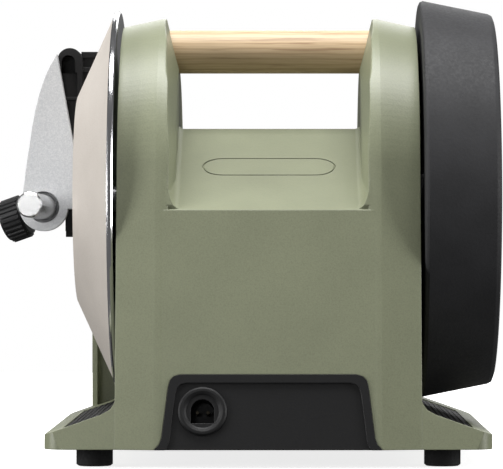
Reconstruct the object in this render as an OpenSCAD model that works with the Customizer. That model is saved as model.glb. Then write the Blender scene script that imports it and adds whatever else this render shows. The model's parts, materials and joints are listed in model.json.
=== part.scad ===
// Two-wheel bench sharpener: a cast housing with two arched towers, a conical
// grinding wheel on the left end, a conical honing wheel on the right end,
// a wooden carrying handle, and a tilting tool support with a round bar.
// Millimetres. X runs along the spindle, +Z is up, the floor is Z = 0.

/* [Housing] */
// Height of the spindle axis above the floor
axis_h = 122; // [121:0.5:123]
// Radius of the arched towers at their widest
tower_r = 85.8; // [85:0.2:86.6]
// Radius of the towers at their outer faces
tower_r_outer = 81.9; // [81:0.1:82.5]
// Distance from the middle plane to a tower's outer face
tower_x = 69.1; // [68.9:0.1:69.3]
// Flare of the flanks below the arch, in degrees
flare = 10; // [9:0.5:11]
// Height of the saddle ridge between the towers
ridge_z = 155.3; // [154:0.1:156]
// Wall thickness of the casting
wall = 4; // [3.6:0.1:4.2]

/* [Base] */
// Half width of the base across both foot plates
base_x = 101; // [100:0.5:102]
// Half depth of the foot plates
base_y = 103.2; // [102.8:0.1:103.6]
// Height of the underside above the floor
base_z = 8.2; // [7.5:0.1:9]
// Diameter of a rubber foot
foot_d = 16.6; // [15:0.2:18]

/* [Handle] */
// Diameter of the wooden handle
handle_d = 20.6; // [19:0.2:21]
// Height of the handle's centre line
handle_z = 192.3; // [191.5:0.1:192.8]

/* [Grinding wheel] */
// Radius of the grinding wheel's rim
grind_r = 89.5; // [88.5:0.1:90]
// Radius of the flat centre of the grinding wheel
grind_flat_r = 49; // [47:0.5:50]
// Thickness of the abrasive coating layer
coat_t = 0.6; // [0.4:0.1:0.8]

/* [Honing wheel] */
// Radius of the honing wheel at its inner face
hone_r_in = 94.5; // [93:0.1:95]
// Radius of the honing wheel at its outer face
hone_r_out = 87.8; // [86:0.1:89]
// Width of the honing wheel
hone_w = 35; // [34:0.5:35]

/* [Tool support] */
// Diameter of the support bar
bar_d = 12; // [11.8:0.1:12]
// Length of the support bar
bar_len = 129.5; // [120:0.5:132]
// Number of ribs around the clamp knob
knob_ribs = 26; // [20:1:30]

/* [Drive] */
// Diameter of the spindle
spindle_d = 12; // [11.8:0.1:12]
// Pitch radius of the driven pulley
pulley_r = 45; // [44:0.5:46]
// Pitch radius of the motor pulley
pinion_r = 9; // [8.5:0.5:9]
// Height of the motor shaft
motor_z = 47; // [46:0.5:48]

/* [Hidden] */
$fn = 96;
e = 0.01;
// The row's origin is the middle of the footprint of everything, so the
// housing's middle plane lies at X = x0.
x0 = 14.95;
green = "#8f947b";
black = "#242426";

// Arch outline in (Y, Z): a round top with tangent flanks flaring to zb.
function flank_y(r, z) = r / cos(flare) + (axis_h - z) * tan(flare);
function arch_pts(r, zb, n = 80) = concat(
    [[flank_y(r, zb), zb]],
    [for (i = [0:n]) let (t = flare + (180 - 2 * flare) * i / n) [r * cos(t), axis_h + r * sin(t)]],
    [[-flank_y(r, zb), zb]]);
// Puts a (Y, Z) outline at x and extrudes it along +X by t.
module along_x(x, t) { translate([x, 0, 0]) rotate([90, 0, 90]) linear_extrude(t) children(); }
// A ring or disc turned about the spindle axis from (radius, X) points.
module turned(pts, fn = 96) {
    translate([0, 0, axis_h]) rotate([0, 90, 0]) rotate_extrude($fn = fn) polygon(pts);
}
module x_cyl(x, t, d, y = 0, z = axis_h) { translate([x, y, z]) rotate([0, 90, 0]) cylinder(h = t, d = d); }
module y_cyl(y, t, d, x, z) { translate([x, y, z]) rotate([-90, 0, 0]) cylinder(h = t, d = d); }
module hexagon(af, h) { cylinder(h = h, d = af / cos(30), $fn = 6); }
// Moves children into the plane of the rear flank: local X along X, local Y
// up the flank, local Z outwards. side = 1 is the rear, -1 the front.
module on_flank(side = 1) {
    rotate([0, 0, side > 0 ? 0 : 180]) translate([0, -flank_y(tower_r, base_z), base_z])
        rotate([90 - flare, 0, 0]) children();
}

// ---------------------------------------------------------------- housing
// The inner edge of a tower stands at in_x on the flanks and leans out to
// top_x at the crown.
in_x = 45.5;
top_x = 49;
function low_arch_pts(r, zb, top, n = 8) = concat(
    [[flank_y(r, zb), zb]],
    [for (i = [0:n]) let (t = flare + (top - flare) * i / n) [r * cos(t), axis_h + r * sin(t)]],
    [for (i = [n:-1:0]) let (t = flare + (top - flare) * i / n) [-r * cos(t), axis_h + r * sin(t)]],
    [[-flank_y(r, zb), zb]]);
module tower_solid() {
    hull() {
        along_x(43, e) polygon(arch_pts(62, base_z));
        along_x(in_x, e) polygon(low_arch_pts(tower_r - 0.3, base_z, 18, 4));
        along_x(in_x + 0.8, e) polygon(low_arch_pts(tower_r - 0.2, base_z, 38, 14));
        along_x(in_x + 2.1, e) polygon(low_arch_pts(tower_r - 0.09, base_z, 60, 25));
        along_x(top_x, 2.2) polygon(arch_pts(tower_r, base_z));
        along_x(tower_x - e, e) polygon(arch_pts(tower_r_outer, base_z));
    }
}
saddle_edge_z = 115.9;
saddle_r = tower_r - 0.06;
saddle_pts = [[-flank_y(saddle_r, base_z), base_z], [flank_y(saddle_r, base_z), base_z],
    [flank_y(saddle_r, saddle_edge_z), saddle_edge_z], [8, ridge_z], [-8, ridge_z],
    [-flank_y(saddle_r, saddle_edge_z), saddle_edge_z]];
// Rounded corner between a tower's inner wall and the sloping saddle face.
slope = atan2(ridge_z - saddle_edge_z, flank_y(tower_r, saddle_edge_z) - 8);
slope_len = norm([ridge_z - saddle_edge_z, flank_y(tower_r, saddle_edge_z) - 8]);
module saddle_fillet() {
    w = 5.8;
    h = 11.5;
    translate([0, -flank_y(tower_r, saddle_edge_z), saddle_edge_z]) rotate([slope, 0, 0])
        translate([0, slope_len, 0]) rotate([90, 0, 0]) linear_extrude(slope_len - 1.5)
            polygon(concat([[in_x + 0.37 - w, -1]], [for (i = [0:18]) let (t = i * 5 - 90)
                [in_x + 0.37 - w + w * cos(t), h - 0.12 + h * sin(t)]], [[51, h - 0.12], [51, -1]]));
}
module base_side() {
    intersection() {
        along_x(55, 50) polygon(arch_pts(tower_r_outer - 0.06, base_z));
        linear_extrude(60) union() {
            translate([60, -base_y]) square([base_x - 60 - 9, 2 * base_y]);
            translate([60, -base_y + 9]) square([base_x - 60, 2 * base_y - 18]);
            for (s = [-1, 1]) translate([base_x - 9, s * (base_y - 9)]) circle(r = 9);
        }
        translate([0, base_y + 1, 0]) rotate([90, 0, 0]) linear_extrude(2 * base_y + 2)
            difference() {
                polygon([[60, base_z], [base_x, base_z], [base_x, 14.7], [75.2, 23.8],
                    [tower_x + 1.9, 26.2], [tower_x, 30.6], [60, 32]]);
                translate([tower_x + 4.9, 30.9]) circle(r = 5);
            }
    }
}
guard_r = 97;
guard_x0 = -89.2;
module guard_outline(r, zb) {
    polygon(concat([[0, zb], [r, zb]],
        [for (i = [0:40]) [r * cos(i * 2.25), axis_h + r * sin(i * 2.25)]]));
}
// Crescent-shaped wheel guard on the front left, one casting with the housing.
module wheel_guard() {
    difference() {
        intersection() {
            along_x(guard_x0, -guard_x0 - 66) guard_outline(guard_r, base_z);
            translate([-100, 80, base_z]) cube([40, 30, 200]);
        }
        along_x(guard_x0 + 2.6, -tower_x - guard_x0 - 2.6) difference() {
            guard_outline(93.2, 14);
            translate([-100, -1]) square([320, 21]);
        }
        translate([guard_x0 - 1, 86, 150]) x_cyl(0, 6, 3.3, 0, 0);
        translate([guard_x0 - 1, 86, 135]) x_cyl(0, 6, 3.3, 0, 0);
    }
}
module panel_outline(g = 0) {
    // flared foot, slightly tapering sides and rounded top corners
    polygon([[-51 - g, -1], [51 + g, -1], [51 + g, 0.4], [48.9 + g, 2.4], [47.8 + g, 5.2],
        [44.9 + g, 28.6], [44.1 + g, 31.6], [42.4 + g, 33.4], [39.6 + g, 34.2 + g],
        [-39.6 - g, 34.2 + g], [-42.4 - g, 33.4], [-44.1 - g, 31.6], [-44.9 - g, 28.6],
        [-47.8 - g, 5.2], [-48.9 - g, 2.4], [-51 - g, 0.4]]);
}
module housing() {
    color(green) translate([x0, 0, 0]) difference() {
        union() {
            difference() {
                housing_outside();
                housing_hollows();
            }
            bosses();
        }
        // spindle bearing seats
        x_cyl(tower_x - 8.5, 10, 28.04);
        x_cyl(-tower_x - 1.5, 10, 28.04);
        // sockets and screw holes of the handle
        x_cyl(-48, 96, handle_d + 0.1, 0, handle_z);
        x_cyl(-60, 120, 5.2, 0, handle_z);
        // windows of the two black panels
        for (s = [1, -1]) on_flank(s) translate([0, 0, -9]) linear_extrude(12) panel_outline(0.12);
        // shallow pockets for the base mats
        for (s = [0, 1]) mirror([s, 0, 0]) mat_pocket(0.1, 1.4);
        // foot screw holes
        for (x = [-78.9, 78.9], y = [-84, 84]) translate([x, y, base_z - 1]) cylinder(h = 9, d = 4.1);
        // bottom plate screw holes
        for (x = [-59, 59], y = [-90.5, 90.5]) translate([x, y, base_z + 2]) cylinder(h = 16, d = 3.3);
        // blank name field on the rear saddle face
        translate([0, -flank_y(tower_r, saddle_edge_z), saddle_edge_z]) rotate([slope, 0, 0])
            translate([0, slope_len * 0.52, -0.5]) linear_extrude(1.5) difference() {
                name_field(62, 19);
                name_field(60.4, 17.4);
            }
    }
}
module housing_outside() {
    union() {
        tower_solid();
        mirror([1, 0, 0]) tower_solid();
        along_x(-50, 100) polygon(saddle_pts);
        intersection() {
            for (a = [0, 1], b = [0, 1]) mirror([a, 0, 0]) mirror([0, b, 0]) saddle_fillet();
            along_x(-50, 100) polygon(arch_pts(tower_r - 0.15, base_z));
        }
        base_side();
        mirror([1, 0, 0]) base_side();
        wheel_guard();
    }
}
// The inside is open at the bottom and closed by the bottom plate.
module housing_hollows() {
    along_x(-51.5, 103) polygon([[-flank_y(tower_r, base_z) + 7, base_z - 1],
        [flank_y(tower_r, base_z) - 7, base_z - 1],
        [flank_y(tower_r, 112) - 6.5, 112], [7, ridge_z - wall - 0.5], [-7, ridge_z - wall - 0.5],
        [-flank_y(tower_r, 112) + 6.5, 112]]);
    along_x(51.4, 13.6) polygon(arch_pts(75.5, base_z - 1));
    along_x(-65, 13.6) polygon(arch_pts(75.5, base_z - 1));
}
module name_field(w, h) {
    r = h / 2;
    polygon([for (s = [1, -1], i = [-12:12]) let (t = i * 7.5) [s * ((w - h) / 2 + r * cos(t)), s * r * sin(t)]]);
}
// Inner bosses of the casting, each grown out of a wall.
module bosses() {
    x_cyl(tower_x - 8.5, 5.5, 38);
    x_cyl(-tower_x + 3, 5.5, 38);
    for (x = [-59, 59], y = [-90.5, 90.5]) translate([x, y, base_z + 3]) cylinder(h = 24, d = 13);
}

// --------------------------------------------------------- base and panels
module mat_pocket(g, deep) {
    translate([tower_x + 2.4, -base_y + 4.4 - g, 25.05]) rotate([0, 19.4, 0])
        translate([-g, 0, -deep]) cube([22.2 + 2 * g, 165 + 2 * g, deep + 3]);
}
module base_mat() {
    color(black) translate([tower_x + 2.4, -base_y + 4.4, 25.05]) rotate([0, 19.4, 0])
        translate([0, 0, -1.4]) union() {
            cube([22.2, 165, 0.9]);
            for (i = [1:6]) translate([3.1 * i, 4, 0]) cube([0.8, 157, 1.2]);
        }
}
module left_base_mat() { translate([x0, 0, 0]) mirror([1, 0, 0]) base_mat(); }
module right_base_mat() { translate([x0, 0, 0]) base_mat(); }

plate_x = 64.8;
plate_y = 94.6;
module bottom_plate() {
    color(black) translate([x0, 0, base_z]) difference() {
        union() {
            translate([-plate_x, -plate_y, 0]) cube([2 * plate_x, 2 * plate_y, 2.6]);
            translate([-50.9, -plate_y - 4.2, 0]) cube([101.8, 2 * plate_y + 8.4, 2.6]);
        }
        for (x = [-59, 59], y = [-90.5, 90.5]) translate([x, y, -1]) cylinder(h = 5, d = 3.6);
        for (x = [-59, 59], y = [-90.5, 90.5]) translate([x, y, -1]) cylinder(h = 2.2, d = 7);
        for (i = [-4:4]) translate([i * 8 - 1.5, -25, -1]) cube([3, 50, 5]);
        for (x = [20, 38], y = [-22, 22]) translate([x, y, -1]) cylinder(h = 5, d = 4.2);
    }
}
module pan_screw(d, l, hd, hh) {
    // head at the bottom, shank up
    difference() {
        union() { cylinder(h = hh, d = hd); cylinder(h = l, d = d); }
        translate([0, 0, -0.1]) cylinder(h = hh * 0.6, d = hd * 0.42, $fn = 6);
    }
}
module bottom_plate_screws() {
    color("silver") for (x = [-59, 59], y = [-90.5, 90.5])
        translate([x0 + x, y, base_z - 0.3]) pan_screw(3.2, 14, 6.6, 1.4);
}
module rubber_feet() {
    color(black) for (x = [-78.9, 78.9], y = [-84, 84]) translate([x0 + x, y, 0]) difference() {
        rotate_extrude($fn = 64) polygon([[0, 0], [foot_d / 2 - 1, 0], [foot_d / 2, 0.8],
            [foot_d / 2, base_z], [0, base_z]]);
        translate([0, 0, -1]) cylinder(h = base_z + 2, d = 4.4);
        translate([0, 0, -1]) cylinder(h = 4.6, d = 8.4);
    }
}
module foot_screws() {
    color("silver") for (x = [-78.9, 78.9], y = [-84, 84])
        translate([x0 + x, y, 1.6]) pan_screw(4, 11, 8, 2);
}
module panel(side) {
    difference() {
        on_flank(side) difference() {
            union() {
                translate([0, 0, -5.6]) linear_extrude(5) panel_outline(0);
                translate([0, 0, -1]) linear_extrude(1.5) difference() {
                    panel_outline(0);
                    translate([0, -1.4]) scale([0.93, 0.93]) panel_outline(0);
                }
            }
        }
        translate([-80, -150, base_z - 20]) cube([160, 300, 20]);
    }
}
inlet_x = -29.5;
inlet_u = 17.6;
module rear_panel() {
    color(black) translate([x0, 0, 0]) difference() {
        panel(1);
        on_flank(1) translate([inlet_x, inlet_u, -10]) cylinder(h = 14, d = 22.1);
    }
}
switch_x = -22;
switch_u = 20;
module front_panel() {
    color(black) translate([x0, 0, 0]) difference() {
        panel(-1);
        on_flank(-1) translate([switch_x - 12.1, switch_u - 9.1, -10]) cube([24.2, 18.2, 14]);
    }
}
module d_outline(w, h) {
    union() {
        translate([-w / 2, -h / 2]) square([w, h - w / 2]);
        translate([0, h / 2 - w / 2]) circle(d = w);
    }
}
module power_inlet() {
    color(black) translate([x0, 0, 0]) on_flank(1) translate([inlet_x, inlet_u, 0]) difference() {
        union() {
            translate([0, 0, -16]) cylinder(h = 15.4, d = 22);
            translate([0, 0, -0.8]) rotate_extrude($fn = 64)
                polygon([[0, -1], [11, -1], [11, 0.9], [10.3, 1.6], [9.2, 1.7], [8, 1.2], [7.4, 0.6], [0, 0.6]]);
        }
        translate([0, 0, -13]) linear_extrude(20) d_outline(10.6, 10.9);
    }
}
module inlet_pins() {
    color("gold") translate([x0, 0, 0]) on_flank(1) for (s = [-1, 1])
        translate([inlet_x + s * 2.4, inlet_u, -13]) union() {
            cylinder(h = 8, d = 1.6, $fn = 24);
        }
}
module switch_frame() {
    color(black) translate([x0, 0, 0]) on_flank(-1) translate([switch_x, switch_u, 0]) difference() {
        union() {
            translate([-12, -9, -14]) cube([24, 18, 13.6]);
            translate([-13.2, -10, -0.55]) cube([26.4, 20, 1.6]);
        }
        translate([-10.2, -7.5, -10]) cube([20.4, 15, 14]);
        translate([-11.4, 0, -4]) rotate([0, 90, 0]) cylinder(h = 22.8, d = 3.06);
    }
}
// The rocker tips about a line along local X; at rest its lower edge stands out.
module rocker_switch() {
    color("#303033") translate([x0, 0, 0]) on_flank(-1) translate([switch_x, switch_u, -4])
        union() {
            translate([-9.8, 0, 0]) rotate([90, 0, 90]) linear_extrude(19.6)
                polygon([[-6.4, -1.5], [-3, -4], [3, -4], [6.4, -1.5], [6, 4.6], [0, 5], [-6, 6.6]]);
            translate([-11.2, 0, 0]) rotate([0, 90, 0]) cylinder(h = 22.4, d = 3);
        }
}

// ------------------------------------------------------------------ handle
module handle() {
    color("#c9a67c") translate([x0, 0, 0]) difference() {
        x_cyl(-47.9, 95.8, handle_d, 0, handle_z);
        for (s = [-1, 1]) x_cyl(s > 0 ? 28 : -50, 22, 4.2, 0, handle_z);
    }
}
module handle_screws() {
    color("silver") for (s = [0, 1]) translate([x0, 0, 0]) mirror([s, 0, 0])
        translate([54.9, 0, handle_z]) rotate([0, -90, 0]) pan_screw(4.1, 24, 9, 3.4);
}

// ----------------------------------------------------------------- spindle
module spindle() {
    color("silver") translate([x0, 0, 0]) union() {
        x_cyl(-90.6, 195.2, spindle_d - 4);
        x_cyl(-79, 170, spindle_d);
        x_cyl(-60.5, 121, spindle_d + 3);
    }
}
module ring(x, t, ro, ri) { turned([[ri, x], [ro, x], [ro, x + t], [ri, x + t]]); }
module bearing_outer_rings() {
    color("silver") translate([x0, 0, 0]) {
        ring(tower_x - 8.2, 8, 14, 11.6);
        ring(-tower_x + 0.2, 8, 14, 11.6);
    }
}
module bearing_inner_rings() {
    color("silver") translate([x0, 0, 0]) {
        ring(tower_x - 8.2, 8, 8.6, spindle_d / 2);
        ring(-tower_x + 0.2, 8, 8.6, spindle_d / 2);
    }
}
module bearing_shields() {
    color(black) translate([x0, 0, 0]) for (x = [tower_x - 8, tower_x - 1, -tower_x + 0.4, -tower_x + 7.4])
        ring(x, 0.6, 11.6, 8.75);
}

// ---------------------------------------------------------- grinding wheel
rim_x = -70.7;
flat_x = -91.2;
// Dished steel disc with a polished rounded rim.
module grinding_wheel_disc() {
    c = coat_t;
    color("silver") translate([x0, 0, 0]) turned([
        [6, -82.4], [28, -82.4], [28, flat_x + 5], [24.6, flat_x + 4.4], [24.6, flat_x + 0.4], [25, flat_x],
        [grind_flat_r - 0.8, flat_x], [grind_flat_r - 0.8, flat_x + c],
        [grind_flat_r, flat_x + c], [grind_r - 1.6, rim_x - 2.55 + c], [grind_r - 1.2, rim_x - 2.9],
        [grind_r - 0.7, rim_x - 2.8], [grind_r - 0.2, rim_x - 2.2], [grind_r, rim_x - 1.5],
        [grind_r - 0.15, rim_x - 0.7], [grind_r - 0.8, rim_x], [grind_r - 4, rim_x],
        [grind_flat_r + 2, flat_x + 3.6], [33, flat_x + 3.6], [33, -78.6], [6, -78.6]], 180);
}
// Coated cone that does the grinding.
module abrasive_coating() {
    c = coat_t;
    color("#d6ccc4") translate([x0, 0, 0]) turned([
        [grind_flat_r - 0.8, flat_x], [grind_flat_r + 0.2, flat_x], [grind_r - 1.6, rim_x - 2.75 + 0.05],
        [grind_r - 1.6, rim_x - 2.55 + c], [grind_flat_r, flat_x + c], [grind_flat_r - 0.8, flat_x + c]], 180);
}
module grinding_wheel_washer() {
    color("silver") translate([x0, 0, 0]) ring(-84.4, 2, 14, 4.05);
}
module grinding_wheel_nut() {
    color("silver") translate([x0 - 84.4, 0, axis_h]) rotate([0, -90, 0]) difference() {
        hexagon(17, 6);
        translate([0, 0, -1]) cylinder(h = 9, d = spindle_d - 4 + 0.04);
    }
}

// ------------------------------------------------------------ honing wheel
hx = 71;
module honing_wheel() {
    w = hone_w;
    color("#2c2c2e") translate([x0, 0, 0]) turned([
        [30, hx + 4], [66, hx + 4], [70, hx], [hone_r_in - 2, hx], [hone_r_in - 0.55, hx + 0.6], [hone_r_in, hx + 2],
        [hone_r_out + 0.5, hx + w - 2.2], [hone_r_out - 0.3, hx + w - 0.6], [hone_r_out - 1.9, hx + w],
        [62, hx + w], [60, hx + w - 1], [57, hx + w - 12], [30, hx + w - 12]], 180);
}
module honing_wheel_hub() {
    color("#3a3a3c") translate([x0, 0, 0]) difference() {
        turned([[6, hx + 1], [12, hx + 1], [12, hx + 4], [30, hx + 4], [30, hx + 23], [36, hx + 23], [36, hx + 25.4],
            [16, hx + 25.4], [14, hx + 20], [6, hx + 20]]);
        for (i = [0:5]) translate([0, 0, axis_h]) rotate([60 * i, 0, 0]) translate([hx + 14, 0, 22])
            rotate([0, 90, 0]) cylinder(h = 14, d = 8);
    }
}
module honing_wheel_nut() {
    color("silver") translate([x0 + hx + 20, 0, axis_h]) rotate([0, 90, 0]) difference() {
        union() { cylinder(h = 2, d = 26); hexagon(17, 9); }
        translate([0, 0, -1]) cylinder(h = 12, d = spindle_d - 4 + 0.04);
    }
}

// ------------------------------------------------------------------- drive
px = 53.4;
pw = 6.6;
module driven_pulley() {
    r = pulley_r;
    color("#4a4a4c") translate([x0, 0, 0]) difference() {
        turned([[7.5, px], [r - 1, px], [r + 1.6, px], [r + 1.6, px + 0.6], [r - 0.8, px + 0.7],
            [r - 0.8, px + pw - 0.7], [r + 1.6, px + pw - 0.6], [r + 1.6, px + pw], [7.5, px + pw]]);
        for (i = [0:5]) translate([0, 0, axis_h]) rotate([60 * i, 0, 0]) translate([px - 1, 0, 26])
            rotate([0, 90, 0]) cylinder(h = pw + 2, d = 18);
    }
}
module belt_loop(g) {
    hull() {
        translate([0, axis_h]) circle(r = pulley_r - 0.8 + g);
        translate([0, motor_z]) circle(r = pinion_r - 0.8 + g);
    }
}
module drive_belt() {
    color("#1c1c1c") translate([x0, 0, 0]) along_x(px + 0.9, pw - 1.8) difference() {
        belt_loop(1.6);
        belt_loop(0.12);
    }
}
module motor_pulley() {
    r = pinion_r;
    color("#4a4a4c") translate([x0, 0, motor_z - axis_h]) turned([[3, px], [r + 1.6, px], [r + 1.6, px + 0.6],
        [r - 0.8, px + 0.7], [r - 0.8, px + pw - 0.7], [r + 1.6, px + pw - 0.6], [r + 1.6, px + pw], [3, px + pw]]);
}
module motor_shaft() { color("silver") translate([x0, 0, 0]) x_cyl(-30, 92, 6, 0, motor_z); }
module motor_case() {
    color("#9a9a9c") translate([x0, 0, 0]) difference() {
        x_cyl(-24, 70, 52, 0, motor_z);
        x_cyl(-25, 66, 47, 0, motor_z);
        x_cyl(-25, 75, 8, 0, motor_z);
        for (y = [-16, 16]) x_cyl(38, 10, 4.06, y, motor_z);
    }
}
module motor_end_cap() {
    color(black) translate([x0, 0, 0]) difference() {
        union() { x_cyl(-28, 4, 52, 0, motor_z); x_cyl(-24, 3, 46.8, 0, motor_z); x_cyl(-33, 5, 16, 0, motor_z); }
        x_cyl(-34, 16, 6.1, 0, motor_z);
    }
}
module motor_bracket() {
    color("silver") translate([x0, 0, 0]) difference() {
        union() {
            translate([46, -30, base_z + 2.6]) cube([2.6, 60, 66]);
            translate([12, -30, base_z + 2.6]) cube([36.6, 60, 2.6]);
        }
        x_cyl(45, 5, 18, 0, motor_z);
        for (y = [-16, 16]) x_cyl(45, 5, 4.2, y, motor_z);
        for (x = [20, 38], y = [-22, 22]) translate([x, y, 8]) cylinder(h = 9, d = 4.2);
    }
}
module motor_screws() {
    color("silver") translate([x0, 0, 0]) for (y = [-16, 16])
        translate([50.5, y, motor_z]) rotate([0, -90, 0]) pan_screw(4, 9, 7, 1.9);
}
module bracket_bolts() {
    color("silver") translate([x0, 0, 0]) for (x = [20, 38], y = [-22, 22])
        translate([x, y, base_z + 7.2]) rotate([180, 0, 0]) pan_screw(4, 7.1, 7, 2);
}
module control_board() {
    color("#2f6b3c") translate([x0, 0, 0]) difference() {
        translate([-48, -40, 20]) cube([18, 80, 1.6]);
        for (y = [-35, 35]) translate([-39, y, 18]) cylinder(h = 5, d = 3.2);
    }
}
module board_capacitors() {
    color("#3a4f7a") translate([x0, 0, 21.6]) for (y = [-18, 0, 18]) translate([-41, y, 0]) cylinder(h = 22, d = 12);
}
module board_spacers() {
    color("silver") translate([x0, 0, base_z + 2.6]) for (y = [-35, 35]) translate([-39, y, 0]) union() {
        cylinder(h = 20 - base_z - 2.6, d = 6);
        cylinder(h = 13, d = 3.1);
    }
}

// ------------------------------------------------------------ tool support
bar_x = -111.9;
bar_z = 118.8;
bar_y0 = -39.5;
piv_x = -107.4;
piv_z = 180;
arm_y = 55;
arm_t = 7;
// Direction of the clamp screw, pointing outwards and down to the front left.
u_xy = atan2(0.25, -0.915);
u_dn = asin(-0.317);
module on_clamp() { translate([bar_x, 75, bar_z - 0.4]) rotate([0, 0, u_xy]) rotate([0, 90 - u_dn, 0]) children(); }
module arm_outline() {
    union() {
        polygon([[-105.3, 194.4], [-106.6, 192], [-108.6, 188.6], [-110.8, 184], [-112.8, 178.6], [-114.5, 172.7],
            [-116, 166.6], [-117.2, 160.5], [-118.2, 154.5], [-119, 148.4], [-119.9, 143.1], [-120.6, 137.9],
            [-121.3, 132], [-122, 126.5], [-123.1, 121], [bar_x, bar_z], [bar_x + 11, 117.8], [-96.5, 117.8],
            [-95.6, 119], [-95.2, 122], [-95.2, 138.8]]);
        translate([bar_x, bar_z]) circle(r = 12);
    }
}
module support_arm() {
    color("#b9babb") translate([x0, 0, 0]) difference() {
        union() {
            translate([0, arm_y + arm_t, 0]) rotate([90, 0, 0]) linear_extrude(arm_t) arm_outline();
            y_cyl(arm_y + arm_t - 1, 22, 17, bar_x, bar_z);
        }
        y_cyl(arm_y - 1, arm_t - 0.2, 15.4, bar_x, bar_z);
        y_cyl(arm_y - 1, 40, bar_d + 0.08, bar_x, bar_z);
        y_cyl(arm_y + 2.4, 6, 5.06, piv_x, piv_z);
        on_clamp() cylinder(h = 14, d = 5.06);
    }
}
module support_bar() {
    r = bar_d / 2;
    color("silver") translate([x0 + bar_x, bar_y0, bar_z]) rotate([-90, 0, 0])
        rotate_extrude($fn = 96) polygon([[0, 0], [r - 0.7, 0], [r, 0.7], [r, 94], [r - 0.4, 94.2],
            [r - 0.4, 94.7], [r, 94.9], [r, bar_len - 0.7],
            [r - 0.7, bar_len], [0, bar_len]]);
}
module support_pivot_pin() { color("silver") translate([x0, 0, 0]) y_cyl(arm_y + 2.6, 22, 5, piv_x, piv_z); }
// Black moulded bracket: arched head with a tunnel, a leg down behind the arm,
// and a flange screwed to the side of the wheel guard.
module support_bracket() {
    color(black) translate([x0, 0, 0]) difference() {
        union() {
            // head
            translate([0, 82, 0]) rotate([90, 0, 0]) linear_extrude(19.4) union() {
                translate([-99.4, 191.6]) circle(r = 6.2);
                polygon([[-105.6, 191.6], [-93.2, 191.6], [-93.2, 172], [-111, 172], [-111, 184], [-105.6, 186]]);
            }
            // ribbed upper block reaching over the guard
            translate([-94, 68, 186]) cube([9.4, 14, 2.4]);
            translate([-94, 68, 193.2]) cube([9.4, 14, 3]);
            translate([-94, 70, 178]) cube([8, 10, 17]);
            // leg behind the arm
            translate([-101.6, 66, 104]) cube([8.2, 10, 72]);
            translate([-101.6, 62.6, 106.9]) cube([8.2, 8, 10.9]);
            // flange on the guard
            translate([-93.6, 66, 128]) cube([4.3, 28, 50]);
        }
        // tunnel and step in the head's face
        translate([0, 75, 0]) rotate([90, 0, 0]) linear_extrude(14) union() {
            translate([-100.2, 190.8]) circle(r = 3.4);
            translate([-103.6, 185.4]) square([6.8, 5.4]);
        }
        translate([-103.8, 60, 173.5]) cube([8, 6.2, 12]);
        y_cyl(60, 30, 5.06, piv_x, piv_z);
        for (z = [135, 150]) { x_cyl(-95, 8, 3.4, 86, z); x_cyl(-95, 3.2, 7, 86, z); }
    }
}
module support_bracket_screws() {
    color("silver") translate([x0, 0, 0]) for (z = [135, 150])
        translate([-93.4, 86, z]) rotate([0, 90, 0]) pan_screw(3.2, 7.2, 6.6, 1.5);
}
module clamp_knob() {
    n = knob_ribs;
    color(black) translate([x0, 0, 0]) on_clamp() translate([0, 0, 10.8]) difference() {
        union() {
            translate([0, 0, 1.2]) linear_extrude(9) polygon([for (i = [0:4 * n - 1])
                let (t = 360 * (i + (i % 2) * 0.2) / (4 * n), r = (i % 4 < 2) ? 10.95 : 10.2) [r * cos(t), r * sin(t)]]);
            cylinder(h = 11.6, r = 9.5);
        }
        translate([0, 0, -1]) cylinder(h = 10, d = 5.04);
        translate([0, 0, 11]) cylinder(h = 2, r = 6.4);
    }
}
module clamp_screw() { color("silver") translate([x0, 0, 0]) on_clamp() translate([0, 0, 6.85]) cylinder(h = 12.45, d = 5); }

housing();
bottom_plate();
bottom_plate_screws();
rubber_feet();
foot_screws();
left_base_mat();
right_base_mat();
rear_panel();
front_panel();
power_inlet();
inlet_pins();
switch_frame();
rocker_switch();
handle();
handle_screws();
spindle();
bearing_outer_rings();
bearing_inner_rings();
bearing_shields();
grinding_wheel_disc();
abrasive_coating();
grinding_wheel_washer();
grinding_wheel_nut();
honing_wheel();
honing_wheel_hub();
honing_wheel_nut();
driven_pulley();
drive_belt();
motor_pulley();
motor_shaft();
motor_case();
motor_end_cap();
motor_bracket();
motor_screws();
bracket_bolts();
control_board();
board_capacitors();
board_spacers();
support_bracket();
support_bracket_screws();
support_pivot_pin();
support_arm();
support_bar();
clamp_knob();
clamp_screw();
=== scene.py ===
"""Two-wheel bench sharpener: look of every piece, studio and camera."""
import json
import math

import bmesh
import bpy
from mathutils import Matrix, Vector

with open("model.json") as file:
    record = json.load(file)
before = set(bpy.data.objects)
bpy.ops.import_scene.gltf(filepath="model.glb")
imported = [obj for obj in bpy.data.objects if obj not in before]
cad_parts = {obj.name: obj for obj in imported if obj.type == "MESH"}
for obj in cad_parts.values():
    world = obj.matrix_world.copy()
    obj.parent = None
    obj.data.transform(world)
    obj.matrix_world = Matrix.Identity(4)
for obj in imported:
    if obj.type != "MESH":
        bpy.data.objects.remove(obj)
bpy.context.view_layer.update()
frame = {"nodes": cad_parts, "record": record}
X0 = 14.95e-3
AXIS = 0.122


# ---------------------------------------------------------------- materials
def lin(r, g, b):
    """sRGB 0..255 to linear."""
    def one(c):
        c /= 255
        return c / 12.92 if c <= 0.04045 else ((c + 0.055) / 1.055) ** 2.4
    return (one(r), one(g), one(b), 1.0)


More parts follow.
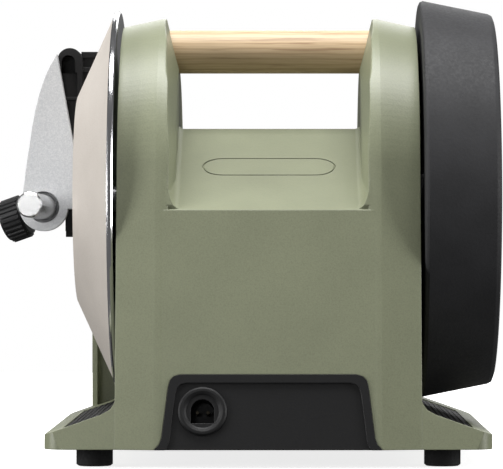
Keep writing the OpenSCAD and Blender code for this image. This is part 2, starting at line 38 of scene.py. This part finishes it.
class Mat:
    def __init__(self, name):
        self.m = bpy.data.materials.new(name)
        self.m.use_nodes = True
        self.t = self.m.node_tree
        self.n, self.l = self.t.nodes, self.t.links
        self.n.clear()
        self.out = self.n.new("ShaderNodeOutputMaterial")
        self.b = self.n.new("ShaderNodeBsdfPrincipled")
        self.l.new(self.b.outputs[0], self.out.inputs["Surface"])
        self.co = self.n.new("ShaderNodeTexCoord")

    def add(self, kind, **kw):
        n = self.n.new(kind)
        for k, v in kw.items():
            setattr(n, k, v)
        return n

    def set(self, **kw):
        for k, v in kw.items():
            self.b.inputs[k.replace("_", " ")].default_value = v

    def mapped(self, scale=(1, 1, 1), rot=(0, 0, 0)):
        mp = self.add("ShaderNodeMapping")
        mp.inputs["Scale"].default_value = scale
        mp.inputs["Rotation"].default_value = rot
        self.l.new(self.co.outputs["Object"], mp.inputs["Vector"])
        return mp.outputs[0]

    def noise(self, scale, detail=4.0, rough=0.55, vec=None):
        n = self.add("ShaderNodeTexNoise")
        n.inputs["Scale"].default_value = scale
        n.inputs["Detail"].default_value = detail
        n.inputs["Roughness"].default_value = rough
        self.l.new(vec or self.co.outputs["Object"], n.inputs["Vector"])
        return n.outputs["Fac"]

    def ramp(self, fac, stops):
        r = self.add("ShaderNodeValToRGB")
        el = r.color_ramp.elements
        while len(el) > 1:
            el.remove(el[-1])
        el[0].position, el[0].color = stops[0]
        for p, c in stops[1:]:
            e = el.new(p)
            e.color = c
        self.l.new(fac, r.inputs[0])
        return r.outputs[0]

    def span(self, fac, lo, hi, a=0.3, b=0.7):
        r = self.add("ShaderNodeMapRange")
        r.inputs["From Min"].default_value = a
        r.inputs["From Max"].default_value = b
        r.inputs["To Min"].default_value = lo
        r.inputs["To Max"].default_value = hi
        self.l.new(fac, r.inputs["Value"])
        return r.outputs["Result"]

    def bump(self, fac, dist, strength=0.5, radius=None, prev=None):
        bp = self.add("ShaderNodeBump")
        bp.inputs["Strength"].default_value = strength
        bp.inputs["Distance"].default_value = dist
        self.l.new(fac, bp.inputs["Height"])
        if prev is not None:
            self.l.new(prev, bp.inputs["Normal"])
        elif radius:
            bv = self.add("ShaderNodeBevel", samples=4)
            bv.inputs["Radius"].default_value = radius
            self.l.new(bv.outputs[0], bp.inputs["Normal"])
        self.l.new(bp.outputs[0], self.b.inputs["Normal"])
        return bp.outputs[0]

    def link(self, out, name):
        self.l.new(out, self.b.inputs[name])


def scaled(c, k):
    return (min(1, c[0] * k), min(1, c[1] * k), min(1, c[2] * k), 1.0)


def plastic(name, base, rough=0.45, grain=1600, dist=0.00006, strength=0.35, radius=0.0004, var=0.12):
    m = Mat(name)
    big = m.noise(60, 3)
    m.link(m.ramp(big, [(0.3, scaled(base, 1 - var)), (0.7, scaled(base, 1 + var))]), "Base Color")
    fine = m.noise(grain, 3)
    m.link(m.span(fine, rough - 0.07, rough + 0.09), "Roughness")
    m.bump(fine, dist, strength, radius)
    m.set(Specular_IOR_Level=0.35)
    return m.m


def metal(name, base, rough=0.25, grain=(1, 1, 1), scale=900, dist=0.00002, strength=0.25, radius=0.0003, spread=0.07):
    m = Mat(name)
    vec = m.mapped(grain)
    fine = m.noise(scale, 3, vec=vec)
    big = m.noise(45, 3)
    m.link(m.ramp(big, [(0.3, scaled(base, 0.93)), (0.7, scaled(base, 1.03))]), "Base Color")
    m.link(m.span(fine, max(0.02, rough - spread), rough + spread), "Roughness")
    m.set(Metallic=1.0)
    m.bump(fine, dist, strength, radius)
    return m.m


def powder_coat():
    m = Mat("green_powder_coat")
    base = lin(124, 128, 104)
    big = m.noise(35, 3)
    fine = m.noise(1500, 2)
    mid = m.noise(600, 2)
    tone = m.ramp(big, [(0.3, scaled(base, 0.95)), (0.7, scaled(base, 1.04))])
    speck = m.ramp(fine, [(0.3, (0.84, 0.84, 0.84, 1)), (0.5, (0.94, 0.94, 0.94, 1)), (0.68, (1, 1, 1, 1))])
    mul = m.add("ShaderNodeMix", data_type="RGBA", blend_type="MULTIPLY")
    mul.inputs["Factor"].default_value = 1.0
    m.l.new(tone, mul.inputs["A"])
    m.l.new(speck, mul.inputs["B"])
    m.link(mul.outputs["Result"], "Base Color")
    m.link(m.span(fine, 0.34, 0.48), "Roughness")
    first = m.bump(mid, 0.00008, 0.4, 0.0006)
    m.bump(fine, 0.00006, 0.45, prev=first)
    m.set(Specular_IOR_Level=0.5)
    return m.m


def oak():
    m = Mat("oiled_oak")
    long = m.mapped((3.0, 150.0, 150.0))
    grain = m.noise(9, 6, 0.62, long)
    pore = m.noise(55, 4, 0.6, m.mapped((0.35, 9.0, 9.0)))
    wave = m.add("ShaderNodeTexWave", wave_type="BANDS", bands_direction="Z")
    wave.inputs["Scale"].default_value = 130
    wave.inputs["Distortion"].default_value = 3.5
    wave.inputs["Detail"].default_value = 3
    wave.inputs["Detail Scale"].default_value = 1.4
    m.l.new(m.mapped((0.16, 1.0, 1.0)), wave.inputs["Vector"])
    mix = m.add("ShaderNodeMix", data_type="FLOAT")
    mix.inputs["Factor"].default_value = 0.4
    m.l.new(grain, mix.inputs["A"])
    m.l.new(wave.outputs["Fac"], mix.inputs["B"])
    col = m.ramp(mix.outputs["Result"], [
        (0.22, lin(174, 146, 113)), (0.42, lin(192, 166, 131)), (0.6, lin(201, 176, 142)), (0.8, lin(184, 158, 124))])
    dark = m.ramp(pore, [(0.34, lin(150, 108, 74)), (0.44, (1, 1, 1, 1))])
    mul = m.add("ShaderNodeMix", data_type="RGBA", blend_type="MULTIPLY")
    mul.inputs["Factor"].default_value = 0.45
    m.l.new(col, mul.inputs["A"])
    m.l.new(dark, mul.inputs["B"])
    m.link(mul.outputs["Result"], "Base Color")
    m.link(m.span(grain, 0.42, 0.58), "Roughness")
    m.bump(pore, 0.0001, 0.35, 0.0004)
    return m.m


def diamond():
    m = Mat("diamond_grit")
    fine = m.noise(2600, 2)
    cell = m.add("ShaderNodeTexVoronoi", feature="F1")
    cell.inputs["Scale"].default_value = 1900
    m.l.new(m.co.outputs["Object"], cell.inputs["Vector"])
    big = m.noise(22, 3)
    tone = m.ramp(big, [(0.3, lin(192, 185, 177)), (0.7, lin(204, 197, 189))])
    speck = m.ramp(cell.outputs["Distance"], [(0.1, lin(236, 232, 228)), (0.5, (1, 1, 1, 1))])
    mul = m.add("ShaderNodeMix", data_type="RGBA", blend_type="MULTIPLY")
    mul.inputs["Factor"].default_value = 0.7
    m.l.new(tone, mul.inputs["A"])
    m.l.new(speck, mul.inputs["B"])
    m.link(mul.outputs["Result"], "Base Color")
    m.link(m.span(fine, 0.42, 0.62), "Roughness")
    m.set(Metallic=0.35)
    m.bump(cell.outputs["Distance"], 0.00008, 0.4)
    return m.m


def sparkle_coat():
    m = Mat("sparkling_grey_coat")
    cell = m.add("ShaderNodeTexVoronoi", feature="F1")
    cell.inputs["Scale"].default_value = 1500
    m.l.new(m.co.outputs["Object"], cell.inputs["Vector"])
    fine = m.noise(1700, 2)
    col = m.ramp(fine, [(0.32, lin(184, 185, 187)), (0.5, lin(193, 194, 195)), (0.72, lin(206, 206, 206))])
    m.link(col, "Base Color")
    m.link(m.span(cell.outputs["Distance"], 0.42, 0.52, 0.1, 0.6), "Roughness")
    m.set(Metallic=0.2)
    m.bump(cell.outputs["Distance"], 0.00005, 0.3, 0.0006)
    return m.m


def turned_steel(name, base, rough, rings=2600, dist=0.00001):
    """Lathe marks round the spindle axis."""
    m = Mat(name)
    vec = m.mapped((1, 1, 1))
    sep = m.add("ShaderNodeSeparateXYZ")
    m.l.new(vec, sep.inputs[0])
    z = m.add("ShaderNodeMath", operation="SUBTRACT")
    z.inputs[1].default_value = AXIS
    m.l.new(sep.outputs["Z"], z.inputs[0])
    yy = m.add("ShaderNodeMath", operation="MULTIPLY")
    m.l.new(sep.outputs["Y"], yy.inputs[0])
    m.l.new(sep.outputs["Y"], yy.inputs[1])
    zz = m.add("ShaderNodeMath", operation="MULTIPLY")
    m.l.new(z.outputs[0], zz.inputs[0])
    m.l.new(z.outputs[0], zz.inputs[1])
    s = m.add("ShaderNodeMath", operation="ADD")
    m.l.new(yy.outputs[0], s.inputs[0])
    m.l.new(zz.outputs[0], s.inputs[1])
    r = m.add("ShaderNodeMath", operation="SQRT")
    m.l.new(s.outputs[0], r.inputs[0])
    comb = m.add("ShaderNodeCombineXYZ")
    m.l.new(r.outputs[0], comb.inputs["X"])
    m.l.new(sep.outputs["X"], comb.inputs["Y"])
    ring = m.noise(rings, 2, vec=comb.outputs[0])
    big = m.noise(40, 2)
    m.link(m.ramp(big, [(0.3, scaled(base, 0.94)), (0.7, scaled(base, 1.03))]), "Base Color")
    m.link(m.span(ring, max(0.02, rough - 0.05), rough + 0.06), "Roughness")
    m.set(Metallic=1.0)
    m.bump(ring, dist, 0.1)
    return m.m


MATS = {
    "green_cast": powder_coat(),
    "black_plastic": plastic("black_moulded_plastic", lin(12, 12, 13), 0.55, 1100, 0.00008, 0.45),
    "steel": metal("zinc_plated_steel", lin(196, 196, 198), 0.3),
    "rubber": plastic("black_rubber", lin(26, 26, 27), 0.75, 900, 0.0001, 0.5),
    "mat_rubber": plastic("ribbed_mat_rubber", lin(30, 30, 31), 0.68, 900, 0.0001, 0.5),
    "contact_brass": metal("plated_brass", lin(226, 196, 130), 0.25),
    "rocker_plastic": plastic("gloss_black_plastic", lin(28, 28, 30), 0.2, 500, 0.00002, 0.2),
    "oak": oak(),
    "polished_steel": turned_steel("polished_steel", lin(215, 215, 218), 0.13, 1400, 0.000004),
    "diamond_coat": diamond(),
    "honing_composite": plastic("black_honing_composite", lin(36, 36, 38), 0.62, 700, 0.00012, 0.6, 0.0008, 0.18),
    "dark_hub": plastic("dark_glass_filled_plastic", lin(58, 58, 60), 0.5, 1000, 0.00008, 0.4),
    "motor_steel": metal("zinc_sheet_steel", lin(186, 186, 188), 0.38, (1, 1, 6), 300),
    "circuit_board": plastic("green_solder_resist", lin(47, 107, 60), 0.35, 700, 0.00003, 0.3),
    "capacitor_sleeve": plastic("blue_shrink_sleeve", lin(58, 79, 122), 0.25, 500, 0.00002, 0.2),
    "cast_aluminium": sparkle_coat(),
    "bar_steel": metal("ground_stainless_bar", lin(216, 216, 216), 0.2, (8, 0.4, 8), 500),
    "knob_plastic": plastic("black_knob_plastic", lin(26, 26, 27), 0.42, 1200, 0.00005, 0.35, 0.0003),
}

# The inlet pins get a dark, dull colour in place of their brass plating: painted shade standing in for the shadow deep
# inside the socket.
SHADE_DARKENED_PINS = metal("shade_darkened_contact_metal", lin(62, 58, 50), 0.5)
SLOTS = {row.get("node", row.get("name")): row["material_slot"] for row in frame["record"]["subparts"]}
for name, obj in frame["nodes"].items():
    slot = SLOTS[name]
    obj.data.materials.clear()
    # inlet_pins take the dark painted-shade material instead of their brass slot.
    obj.data.materials.append(SHADE_DARKENED_PINS if name == "inlet_pins" else MATS[slot])
    for p in obj.data.polygons:
        p.material_index = 0

# Smooth shading between facets that meet at a small angle.
for name, obj in frame["nodes"].items():
    for poly in obj.data.polygons:
        poly.use_smooth = True
    obj.data.set_sharp_from_angle(angle=math.radians(24))


# ------------------------------------------------------------------ studio
def panel_light(name, loc, target, w, h, power, color=(1, 1, 1)):
    d = bpy.data.lights.new(name, "AREA")
    d.shape = "RECTANGLE"
    d.size, d.size_y = w, h
    d.energy = power
    d.color = color
    o = bpy.data.objects.new(name, d)
    bpy.context.collection.objects.link(o)
    o.location = loc
    o.rotation_euler = (Vector(target) - Vector(loc)).to_track_quat("-Z", "Y").to_euler()
    return o


TARGET = (X0, 0, 0.11)
panel_light("left_softbox", (-1.25, -0.5, 0.3), TARGET, 0.45, 0.9, 19)
panel_light("right_softbox", (1.3, -0.4, 0.3), TARGET, 0.45, 0.9, 14)
panel_light("top_softbox", (0.0, -0.15, 1.2), TARGET, 1.1, 0.5, 24)
panel_light("back_fill", (0.1, 1.6, 0.9), TARGET, 1.2, 0.8, 8)
panel_light("front_card", (-0.35, -1.9, 0.35), (X0 - 0.12, 0, 0.12), 0.25, 0.25, 2.4)


def floor():
    bm = bmesh.new()
    n = 24
    rows = [[bm.verts.new((-0.8 + 1.6 * i / n, -0.45 + 1.5 * j / n, 0)) for i in range(n + 1)] for j in range(n + 1)]
    for j in range(n):
        for i in range(n):
            bm.faces.new((rows[j][i], rows[j][i + 1], rows[j + 1][i + 1], rows[j + 1][i]))
    me = bpy.data.meshes.new("floor")
    bm.to_mesh(me)
    bm.free()
    o = bpy.data.objects.new("floor", me)
    bpy.context.collection.objects.link(o)
    m = Mat("pale_floor")
    m.link(m.ramp(m.noise(3, 2), [(0.3, (0.84, 0.84, 0.84, 1)), (0.7, (0.88, 0.88, 0.88, 1))]), "Base Color")
    m.set(Roughness=0.7, Emission_Color=(1, 1, 1, 1), Emission_Strength=0.8)
    me.materials.append(m.m)
    o.location.z = -0.0002
    o.visible_diffuse = False
    o.visible_glossy = False


floor()

world = bpy.data.worlds.new("white_studio")
bpy.context.scene.world = world
world.use_nodes = True
wt = world.node_tree
wt.nodes.clear()
w_out = wt.nodes.new("ShaderNodeOutputWorld")
w_mix = wt.nodes.new("ShaderNodeMixShader")
w_path = wt.nodes.new("ShaderNodeLightPath")
w_dim = wt.nodes.new("ShaderNodeBackground")
w_dim.inputs["Color"].default_value = (1, 1, 1, 1)
w_dim.inputs["Strength"].default_value = 0.15
w_seen = wt.nodes.new("ShaderNodeBackground")
w_seen.inputs["Color"].default_value = (1, 1, 1, 1)
w_seen.inputs["Strength"].default_value = 1.0
wt.links.new(w_path.outputs["Is Camera Ray"], w_mix.inputs[0])
wt.links.new(w_dim.outputs[0], w_mix.inputs[1])
wt.links.new(w_seen.outputs[0], w_mix.inputs[2])
wt.links.new(w_mix.outputs[0], w_out.inputs[0])

cam_data = bpy.data.cameras.new("camera")
cam = bpy.data.objects.new("camera", cam_data)
bpy.context.collection.objects.link(cam)
bpy.context.scene.camera = cam
cam_data.sensor_fit = "HORIZONTAL"
cam_data.sensor_width = 36
cam_data.lens = 3450 / 503 * 36
cam_data.shift_x = -(287 - 251.5) / 503
cam_data.shift_y = (244 - 234.5) / 503
cam_data.clip_start, cam_data.clip_end = 0.05, 20
cam_data.dof.use_dof = False
cam.location = ((8.4 + 14.95) / 1000, -1.65, 0.1005)
cam.rotation_euler = (math.pi / 2, 0, 0)

bpy.context.scene.view_settings.view_transform = "Standard"
bpy.context.scene.view_settings.look = "None"
